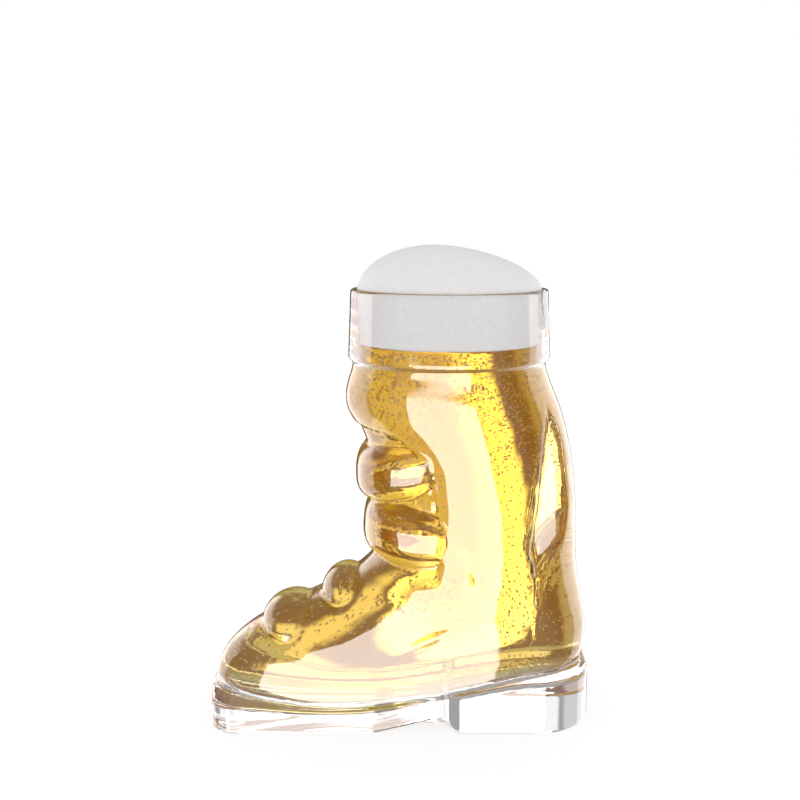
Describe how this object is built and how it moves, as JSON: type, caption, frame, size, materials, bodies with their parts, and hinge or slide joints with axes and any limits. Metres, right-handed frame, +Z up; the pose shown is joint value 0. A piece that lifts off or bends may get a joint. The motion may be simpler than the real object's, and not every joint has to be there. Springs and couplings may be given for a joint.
{
  "type": "beer boot glass",
  "caption": "Boot-shaped drinking glass with a banded mouth, moulded buckles and a thick clear sole, filled with beer under a dome of foam.",
  "frame": {"origin": "on the floor under the sole, in the middle of the glass's length and width", "axes": "+Z up, -X towards the toe, +X towards the heel"},
  "size_m": [0.1574, 0.0812, 0.1934],
  "materials": {
    "clear_glass": "fire-polished clear glass",
    "beer": "clear golden liquid with rising bubbles",
    "foam": "fine moist foam"
  },
  "bodies": {
    "root": {"boot_upper": "clear_glass", "rim_band": "clear_glass", "glass_sole": "clear_glass", "beer": "beer", "foam_head": "foam", "foam_run": "foam"}
  },
  "joints": []
}
